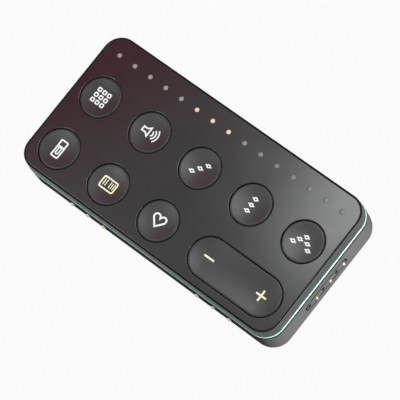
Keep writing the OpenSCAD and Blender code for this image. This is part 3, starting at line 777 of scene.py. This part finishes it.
# %% Device sign
CASE_STROKE = 0.44
PANEL_STROKE = 0.38
LINE_RISE = 0.75
PANEL_DROP = 0.55
x, y = middle("device_key")
device_case = tile(x, y, width=2.75, length=5.7, corner=0.5, border=CASE_STROKE)
device_line = tile(x, y + LINE_RISE, width=2.0, length=0.4, corner=SMALL_CORNER)
device_panel = tile(x, y - PANEL_DROP, width=1.25, length=2.5, corner=0.4, border=PANEL_STROKE)
lay_on("device_key", "device_sign", [device_case, device_line, device_panel], white_ink)

# %% Keyboard sign
BAR_PLACES = (-1.6, -0.87, 0.43, 1.12, 1.8)
BAR_RISE = 0.13
BAR_TILE = (0.26, 1.9, 0.08)
x, y = middle("keyboard_key")
bars = [tile(x + bar_x, y + BAR_RISE, *BAR_TILE) for bar_x in BAR_PLACES]
keyboard_case = tile(x, y, width=5.3, length=3.75, corner=0.65, border=CASE_STROKE)
lay_on("keyboard_key", "keyboard_sign", [keyboard_case, *bars], yellow_ink)

# %% [markdown]
# The heart is a circle whose points are moved onto a new outline: two round lobes, which meet in a
# dip, and straight flanks, which leave the lobes smoothly and meet in the tip.

# %% Heart sign
LOBE_RADIUS = 1.2
LOBE_SIDE = 1.1
LOBE_HEIGHT = 0.85
HEART_TIP = -2.25
LOBE_STEPS = 20
HEART_STROKE = 0.5
rise = LOBE_HEIGHT - HEART_TIP
dip_turn = math.pi - math.acos(LOBE_SIDE / LOBE_RADIUS)
flank = math.atan2(rise, LOBE_SIDE) - math.asin(LOBE_RADIUS / math.hypot(rise, LOBE_SIDE))
whole_turn = flank - math.pi / 2 - dip_turn
right_lobe = []
for step in range(LOBE_STEPS + 1):
    turn = dip_turn + whole_turn * step / LOBE_STEPS
    side = LOBE_SIDE + LOBE_RADIUS * math.cos(turn)
    up = LOBE_HEIGHT + LOBE_RADIUS * math.sin(turn)
    right_lobe.append((side, up))
left_lobe = [(-side, up) for side, up in reversed(right_lobe[1:])]
outline = [*right_lobe, (0, HEART_TIP), *left_lobe]

x, y = middle("heart_key")
bpy.ops.object.select_all(action="DESELECT")
bpy.ops.mesh.primitive_circle_add(vertices=len(outline), radius=MM, fill_type="NGON",
                                  location=(x * MM, y * MM, PRINT_HEIGHT))
heart = bpy.context.object
for point, (side, up) in zip(heart.data.vertices, outline):
    point.co = (side * MM, up * MM, 0)
start_edit()
leave_border(HEART_STROKE)
lay_on("heart_key", "heart_sign", [stop_edit()], white_ink)

# %% Minus and plus
MINUS_LENGTH = 3.45
MINUS_WIDTH = 0.56
ARM_LENGTH = 1.45
ARM_SHIFT = 1.0
pill_x, pill_y = middle("pill_key")
minus_x = pill_x - PITCH / 2
plus_x = pill_x + PITCH / 2
minus = tile(minus_x, pill_y, MINUS_LENGTH, MINUS_WIDTH, SMALL_CORNER)
lay_on("pill_key", "minus_sign", [minus], yellow_ink)
plus = [tile(plus_x, pill_y, MINUS_LENGTH, MINUS_WIDTH, SMALL_CORNER)]
for shift in (ARM_SHIFT, -ARM_SHIFT):
    plus.append(tile(plus_x, pill_y + shift, MINUS_WIDTH, ARM_LENGTH, SMALL_CORNER))
lay_on("pill_key", "plus_sign", plus, yellow_ink)

# %% [markdown]
# ## Snap domes
#
# Under each round key lies a thin steel dome, and under the long key lie two. A dome gives way with
# a click. The CAD model holds all ten as one stiff piece. Here each is a piece of its own. A dome is
# the cap that is cut off a ball and thickened inwards, with its rim flat on the board.

# %% Snap domes
DOME_RADIUS = 3.1
DOME_SHEET = 0.15
CUT_EXACTNESS = 0.001 * MM
ROUND_KEYS = ("grid", "volume", "rising_notes", "stacked_notes", "arched_notes",
              "device", "keyboard", "heart")
domes_low, domes_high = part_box("snap_domes")
dome_height = (domes_high.z - domes_low.z) / MM
ball_radius = (DOME_RADIUS ** 2 + dome_height ** 2) / (2 * dome_height)


def snap_dome(name, x, y, joint):
    """A dome that stands at x, y in mm. The joint is not used."""
    foot = Vector((x * MM, y * MM, domes_low.z))
    bpy.ops.object.select_all(action="DESELECT")
    bpy.ops.mesh.primitive_uv_sphere_add(segments=48, ring_count=128, radius=ball_radius * MM,
                                         location=foot + Vector((0, 0, dome_height - ball_radius)) * MM)
    start_edit()
    bpy.ops.mesh.bisect(plane_co=foot, plane_no=(0, 0, 1), clear_inner=True, threshold=CUT_EXACTNESS)
    dome = stop_edit()
    dome.name = dome.data.name = name
    bpy.ops.object.transform_apply(location=True, rotation=True, scale=True)
    stamped = dome.modifiers.new("stamped", "SOLIDIFY")
    stamped.thickness = DOME_SHEET * MM
    stamped.offset = -1
    bpy.ops.object.modifier_apply(modifier=stamped.name)
    for point in dome.data.vertices:
        point.co.z = max(point.co.z, domes_low.z)
    bpy.ops.object.shade_smooth_by_angle(angle=math.radians(40))
    dome.data.materials.append(dome_steel)
    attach(dome, "case")
    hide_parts("snap_domes")
    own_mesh(dome)
    return dome


for key in ROUND_KEYS:
    dome = snap_dome(f"{key}_dome", *middle(f"{key}_key"), f"{key}_key_press")
snap_dome("minus_dome", minus_x, pill_y, "pill_key_rock")
snap_dome("plus_dome", plus_x, pill_y, "pill_key_rock")
print("a dome is", [round(side / MM, 2) for side in dome.dimensions], "mm")

# %% [markdown]
# ## Lens caps of the dots
#
# The dots are the pips of one milky light guide. Each pip ends in a low lens, a little below the
# top. One lens is modelled from a short cylinder, whose upper face is extruded and widened to fill
# the mouth of its hole, and then inset and raised into a low crown. The fifteen lenses are copies
# of it. Three of them are lit from below by their emitters: warm white in the middle and amber at
# the edge, where the light comes through more plastic. The others grow darker towards the +X end.
# The material finds the middle of the nearest dot by wrapping X at the spacing of the dots.

# %% Places of the dots
DOT_COUNT = 15
EMITTER_LENGTH = 1.6
emitters_low, emitters_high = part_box("dot_emitters")
guide_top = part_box("light_guide")[1].z / MM
first_x = emitters_low.x / MM + EMITTER_LENGTH / 2
last_x = emitters_high.x / MM - EMITTER_LENGTH / 2
dot_pitch = (last_x - first_x) / (DOT_COUNT - 1)
dot_y = (emitters_low.y + emitters_high.y) / 2 / MM
print("dots every", round(dot_pitch, 3), "mm, lenses stand on", round(guide_top, 3), "mm")

# %% Lens materials
LENS_MOUTH = 0.725
LENS_HAZE = 0.3
FADE_DOTS = 9
FADE_PAST = 0.8
fade_start = (last_x - FADE_DOTS * dot_pitch) * MM
fade_end = (last_x + FADE_PAST * dot_pitch) * MM


def lens(name, rings, end_colour, glow):
    """A lens with its colours in rings from the middle out, which turns to one colour at the +X end."""
    material, tree, place = begin(name)
    half = dot_pitch / 2 * MM
    across = add(tree, "ShaderNodeSeparateXYZ", {0: place}).outputs
    x = add(tree, "ShaderNodeMath", {0: across["X"], 1: half, 2: -half}, operation="WRAP")
    y = add(tree, "ShaderNodeMath", {0: across["Y"], 1: dot_y * MM}, operation="SUBTRACT")
    flat = add(tree, "ShaderNodeCombineXYZ", {"X": x, "Y": y})
    reach = add(tree, "ShaderNodeVectorMath", {0: flat}, operation="LENGTH")
    edge = add(tree, "ShaderNodeMapRange", {"Value": reach, "From Max": LENS_MOUTH * MM})
    colours = add(tree, "ShaderNodeValToRGB", {"Fac": edge})
    stops = colours.color_ramp.elements
    while len(stops) < len(rings):
        stops.new(0.5)
    for stop, (spot, colour) in zip(stops, rings):
        stop.position = spot
        stop.color = linear(colour)
    along = add(tree, "ShaderNodeMapRange", {"Value": across["X"], "From Min": fade_start,
                                             "From Max": fade_end}, interpolation_type="SMOOTHSTEP")
    tint = add(tree, "ShaderNodeMix", {"Factor": along, 6: colours, 7: linear(end_colour)},
               data_type="RGBA")
    haze = add(tree, "ShaderNodeTexNoise", {"Vector": place, "Scale": 1 / (LENS_HAZE * MM), "Detail": 2.0})
    gloss = add(tree, "ShaderNodeMapRange", {"Value": haze, "To Min": 0.2, "To Max": 0.26})
    skin = add(tree, "ShaderNodeBsdfPrincipled", {
        "Base Color": tint, "Roughness": gloss, "IOR": 1.47,
        "Emission Color": tint, "Emission Strength": glow})
    add(tree, "ShaderNodeOutputMaterial", {"Surface": skin})
    print(name, "has", len(rings), "rings of colour")
    return material


dull_rings = [(0.0, "7c7174"), (0.35, "a4979b"), (0.82, "94878b"), (1.0, "302b2d")]
lit_rings = [(0.0, "aca092"), (0.3, "c4baae"), (0.68, "c4baae"), (0.85, "a06c3c"), (1.0, "382616")]
dull_lens = lens("moulded_milky_acrylic_lens", dull_rings, "161516", 0.0)
lit_lens = lens("moulded_milky_acrylic_lens_lit", lit_rings, "c4baae", 0.46)

# %% Lenses
LIT = (5, 6, 7)
LENS_RADIUS = 0.69
LENS_FOOT = 0.06
LENS_LIFT = 0.02
FLARE_HEIGHT = 0.07
CROWN_INSET = 0.25
CROWN_RISE = 0.015
FACING_UP = 0.9
flare = LENS_MOUTH / LENS_RADIUS
bpy.ops.object.select_all(action="DESELECT")
bpy.ops.mesh.primitive_cylinder_add(vertices=32, radius=LENS_RADIUS * MM, depth=LENS_FOOT * MM,
                                    location=Vector((first_x, dot_y, guide_top + LENS_LIFT)) * MM)
lens_cap = bpy.context.object
for face in lens_cap.data.polygons:
    face.select = face.normal.z > FACING_UP
for item in (*lens_cap.data.edges, *lens_cap.data.vertices):
    item.select = False
bpy.ops.object.mode_set(mode="EDIT")
bpy.ops.mesh.select_mode(type="FACE")
bpy.ops.mesh.extrude_region_move(TRANSFORM_OT_translate={"value": (0, 0, FLARE_HEIGHT * MM)})
bpy.ops.transform.resize(value=(flare, flare, 1))
bpy.ops.mesh.inset(thickness=CROWN_INSET * MM, depth=CROWN_RISE * MM)
bpy.ops.mesh.select_mode(type="VERT")
stop_edit()
bpy.ops.object.shade_smooth_by_angle(angle=math.radians(60))

for count in range(DOT_COUNT):
    bpy.ops.object.select_all(action="DESELECT")
    lens_cap.select_set(True)
    bpy.context.view_layer.objects.active = lens_cap
    bpy.ops.object.duplicate(linked=False)
    copy = bpy.context.object
    copy.name = copy.data.name = f"dot_lens_{count + 1}"
    copy.location.x += count * dot_pitch * MM
    bpy.ops.object.transform_apply(location=True, rotation=True, scale=True)
    copy.data.materials.clear()
    copy.data.materials.append(lit_lens if count in LIT else dull_lens)
    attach(copy, "case")
bpy.data.objects.remove(lens_cap)
print("lenses end at", round(max(corner[2] for corner in copy.bound_box) / MM, 3), "mm")
